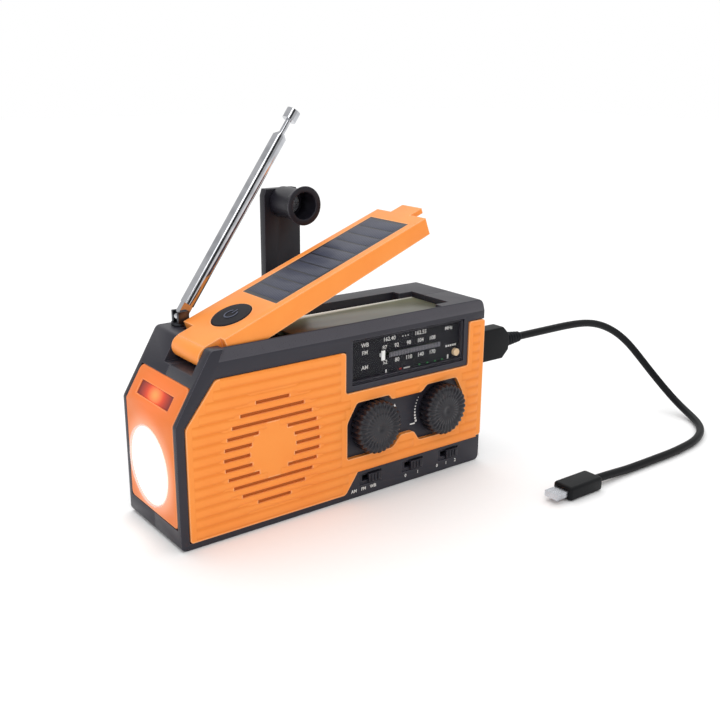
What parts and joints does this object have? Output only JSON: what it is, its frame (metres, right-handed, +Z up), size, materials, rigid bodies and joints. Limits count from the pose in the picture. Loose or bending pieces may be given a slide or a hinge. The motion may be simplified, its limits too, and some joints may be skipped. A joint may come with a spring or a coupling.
{
  "type": "emergency radio",
  "caption": "Portable emergency radio with hand crank, hinged solar flap over a reading lamp, end torch, tuning dial, telescopic aerial and plugged-in charging lead.",
  "frame": {"origin": "middle of the casing's flat base", "axes": "+X along the casing from the torch end to the socket end, -Y out of the front with the dial and knobs, +Z up"},
  "size_m": [0.2892, 0.1304, 0.1626],
  "materials": {
    "acetal": "machined",
    "battery_wrap": "shrink wrap",
    "black_abs": "satin moulded",
    "charcoal_abs": "fine moulded texture",
    "chrome": "polished",
    "circuit_board": "solder mask",
    "clear_acrylic": "polished clear",
    "cream_lens": "diffused",
    "dark_metal": "black oxide",
    "dark_window": "polished",
    "dial_print": "printed",
    "lamp_acrylic": "frosted",
    "lead_rubber": "matt",
    "mirror_metal": "vacuum metallised",
    "orange_abs": "satin moulded",
    "paper_cone": "paper",
    "red_lens": "clear red",
    "solar_cell": "epoxy coated",
    "steel": "bright",
    "white_abs": "satin"
  },
  "bodies": {
    "casing": {"front_shell": "charcoal_abs", "rear_shell": "charcoal_abs", "front_panel": "orange_abs", "end_panel": "orange_abs", "dial_window": "dark_window", "dial_plate": "dial_print", "indicator_led": "cream_lens", "speaker_frame": "dark_metal", "speaker_cone": "paper_cone", "speaker_magnet": "dark_metal", "main_board": "circuit_board", "battery_cell": "battery_wrap", "torch_lens": "clear_acrylic", "torch_reflector": "mirror_metal", "torch_led": "cream_lens", "sos_lens": "red_lens", "lamp_diffuser": "lamp_acrylic", "lamp_board": "white_abs", "usb_port": "steel", "charge_port": "steel", "headphone_jack": "black_abs", "volume_control": "steel", "tuning_capacitor": "white_abs", "dynamo_can": "steel", "idler_axle": "steel", "case_screws": "dark_metal", "flap_hinge_pin": "steel", "aerial_bush": "steel", "usb_plug_shell": "steel", "usb_plug": "lead_rubber", "charging_lead": "lead_rubber", "lead_connector": "lead_rubber", "lead_tip": "steel"},
    "tuner": {"tuning_knob": "black_abs", "tuning_shaft": "acetal"},
    "pointer": {"dial_pointer": "white_abs"},
    "volume": {"volume_knob": "black_abs", "volume_shaft": "acetal"},
    "band_slider": {"band_switch": "black_abs"},
    "torch_slider": {"torch_switch": "black_abs"},
    "alarm_slider": {"alarm_switch": "black_abs"},
    "flap": {"flap_cover": "orange_abs", "flap_liner": "charcoal_abs", "solar_panel": "solar_cell"},
    "lamp_button": {"flap_button": "black_abs"},
    "crank": {"crank_gear": "acetal", "crank_shaft": "steel", "crank_hub": "black_abs", "crank_fold_pin": "steel"},
    "arm": {"crank_arm": "black_abs", "handle_pin": "steel"},
    "handle": {"crank_handle": "black_abs"},
    "idler": {"idler_gear": "acetal"},
    "rotor": {"dynamo_rotor": "steel"},
    "aerial_turret": {"aerial_swivel": "chrome"},
    "aerial_1": {"aerial_tube_1": "chrome"},
    "aerial_2": {"aerial_tube_2": "chrome"},
    "aerial_3": {"aerial_tube_3": "chrome"},
    "aerial_4": {"aerial_tube_4": "chrome"},
    "aerial_5": {"aerial_rod": "chrome"}
  },
  "joints": [
    {"name": "tuning_turn", "type": "hinge", "parent": "casing", "child": "tuner", "pos_m": [0.0145, -0.023, 0.0315], "axis": [0, 1, 0], "range_deg": [0, 285]},
    {"name": "pointer_slide", "type": "slide", "parent": "casing", "child": "pointer", "axis": [1, 0, 0], "range_m": [0, 0.0254]},
    {"name": "volume_turn", "type": "hinge", "parent": "casing", "child": "volume", "pos_m": [0.0525, -0.023, 0.0315], "axis": [0, 1, 0], "range_deg": [0, 270]},
    {"name": "band_slide", "type": "slide", "parent": "casing", "child": "band_slider", "axis": [1, 0, 0], "range_m": [-0.004, 0]},
    {"name": "torch_slide", "type": "slide", "parent": "casing", "child": "torch_slider", "axis": [1, 0, 0], "range_m": [-0.004, 0]},
    {"name": "alarm_slide", "type": "slide", "parent": "casing", "child": "alarm_slider", "axis": [1, 0, 0], "range_m": [-0.004, 0]},
    {"name": "flap_hinge", "type": "hinge", "parent": "casing", "child": "flap", "pos_m": [-0.06, -0.004, 0.0735], "axis": [0, -1, 0], "range_deg": [-20.7, 84.3]},
    {"name": "button_press", "type": "slide", "parent": "flap", "child": "lamp_button", "axis": [0.3535, 0, -0.9354], "range_m": [0, 0.0007], "stiffness_N_per_m": 300},
    {"name": "crank_spin", "type": "hinge", "parent": "casing", "child": "crank", "pos_m": [0.0115, 0.023, 0.05], "axis": [0, 1, 0], "continuous": true},
    {"name": "idler_spin", "type": "hinge", "parent": "casing", "child": "idler", "pos_m": [0.03229, 0.015, 0.038], "axis": [0, 1, 0], "continuous": true},
    {"name": "rotor_spin", "type": "hinge", "parent": "casing", "child": "rotor", "pos_m": [0.04638, 0.012, 0.03287], "axis": [0, 1, 0], "continuous": true},
    {"name": "arm_fold", "type": "hinge", "parent": "crank", "child": "arm", "pos_m": [0.0115, 0.0442, 0.05], "axis": [-1, 0, 0], "range_deg": [0, 180]},
    {"name": "handle_spin", "type": "hinge", "parent": "arm", "child": "handle", "pos_m": [0.0115, 0.03, 0.12], "axis": [0, 1, 0], "continuous": true},
    {"name": "aerial_swivel_turn", "type": "hinge", "parent": "casing", "child": "aerial_turret", "pos_m": [-0.054, 0.0171, 0.078], "axis": [0, 0, 1], "range_deg": [-175, 175]},
    {"name": "aerial_tilt", "type": "hinge", "parent": "aerial_turret", "child": "aerial_1", "pos_m": [-0.054, 0.0171, 0.0816], "axis": [0, 1, 0], "range_deg": [-35.2, 54.5]},
    {"name": "aerial_slide_2", "type": "slide", "parent": "aerial_1", "child": "aerial_2", "axis": [0.5764, 0, 0.8171], "range_m": [0, 0.066]},
    {"name": "aerial_slide_3", "type": "slide", "parent": "aerial_2", "child": "aerial_3", "axis": [0.5764, 0, 0.8171], "range_m": [0, 0.066]},
    {"name": "aerial_slide_4", "type": "slide", "parent": "aerial_3", "child": "aerial_4", "axis": [0.5764, 0, 0.8171], "range_m": [0, 0.066]},
    {"name": "aerial_slide_5", "type": "slide", "parent": "aerial_4", "child": "aerial_5", "axis": [0.5764, 0, 0.8171], "range_m": [-0.006, 0.052]}
  ],
  "couplings": [
    {"joint": "pointer_slide", "follows": "tuning_turn", "m_per_rad": 0.0051},
    {"joint": "idler_spin", "follows": "crank_spin", "ratio": -4},
    {"joint": "rotor_spin", "follows": "crank_spin", "ratio": 16}
  ]
}
